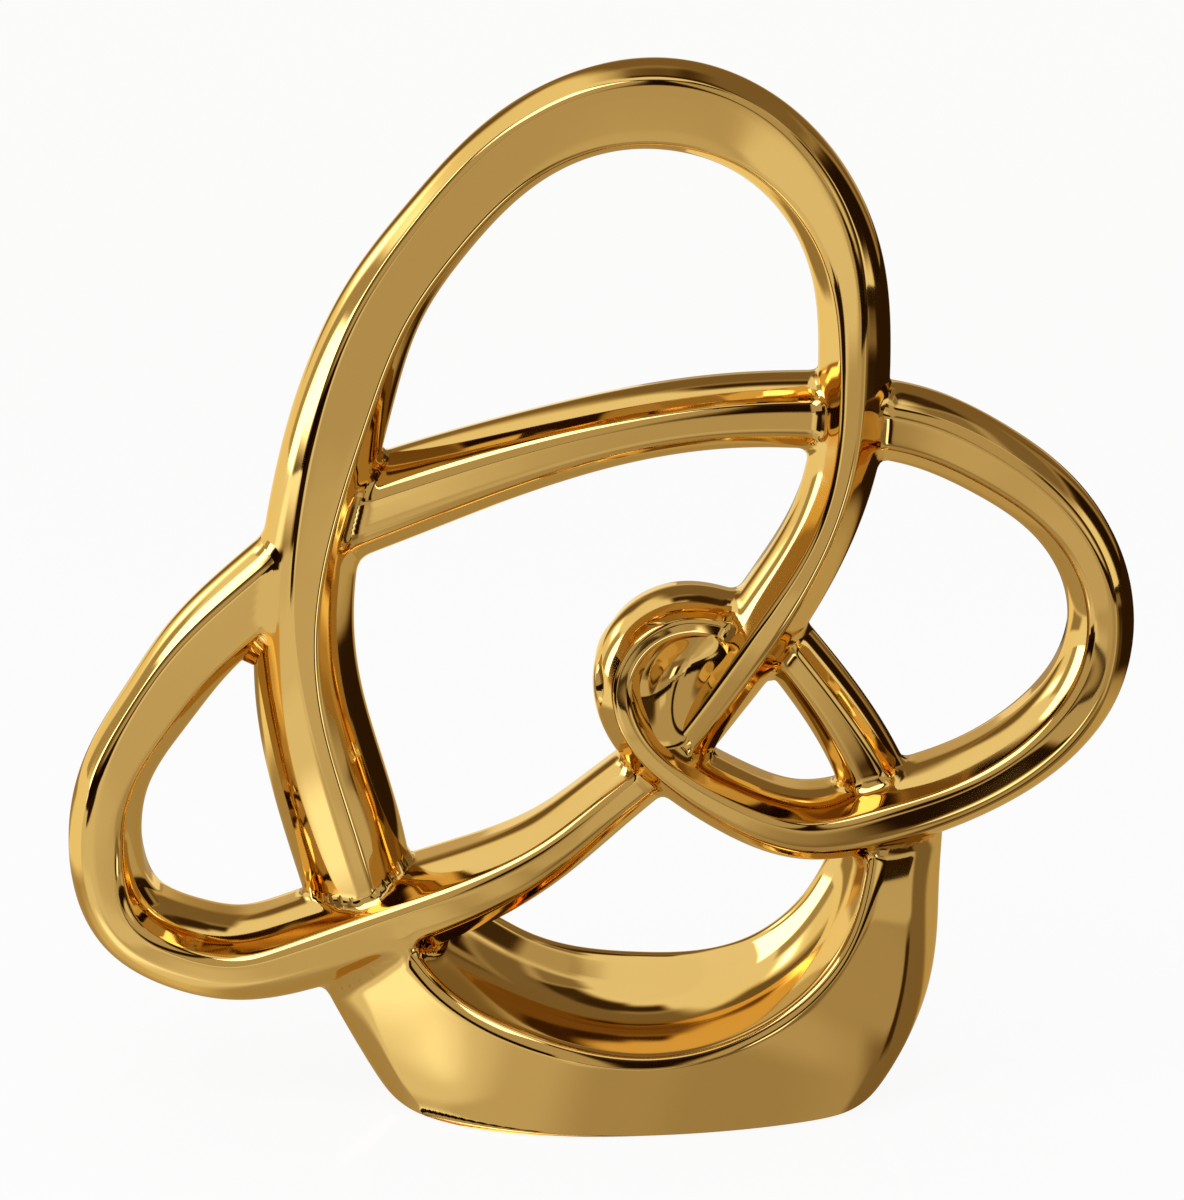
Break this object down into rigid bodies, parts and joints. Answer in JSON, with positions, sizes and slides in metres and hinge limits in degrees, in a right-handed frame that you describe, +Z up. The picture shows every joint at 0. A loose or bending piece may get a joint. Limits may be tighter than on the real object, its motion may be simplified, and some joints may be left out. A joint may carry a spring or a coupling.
{
  "type": "knot sculpture",
  "caption": "Free-standing abstract knot of a gold-lustred ceramic strand, looped over and under itself and rising from a crescent cradle foot.",
  "frame": {"origin": "middle of the bounding box at its lowest point, on the surface that the foot pads stand on", "axes": "+X to the viewer's right, +Y from the front face to the back, +Z up"},
  "size_m": [0.2558, 0.0804, 0.2507],
  "materials": {
    "gold_lustre": "mirror-gloss gold lustre over glazed slip-cast stoneware",
    "plug_silicone": "matt translucent white silicone",
    "pad_foam": "matt black foam with a soft skin"
  },
  "bodies": {
    "root": {"tall_loop": "gold_lustre", "left_loop": "gold_lustre", "right_loop": "gold_lustre", "cross_bar": "gold_lustre", "rear_link": "gold_lustre", "base_cradle": "gold_lustre", "vent_plug": "plug_silicone", "foot_pad_1": "pad_foam", "foot_pad_2": "pad_foam", "foot_pad_3": "pad_foam", "foot_pad_4": "pad_foam"}
  },
  "joints": []
}
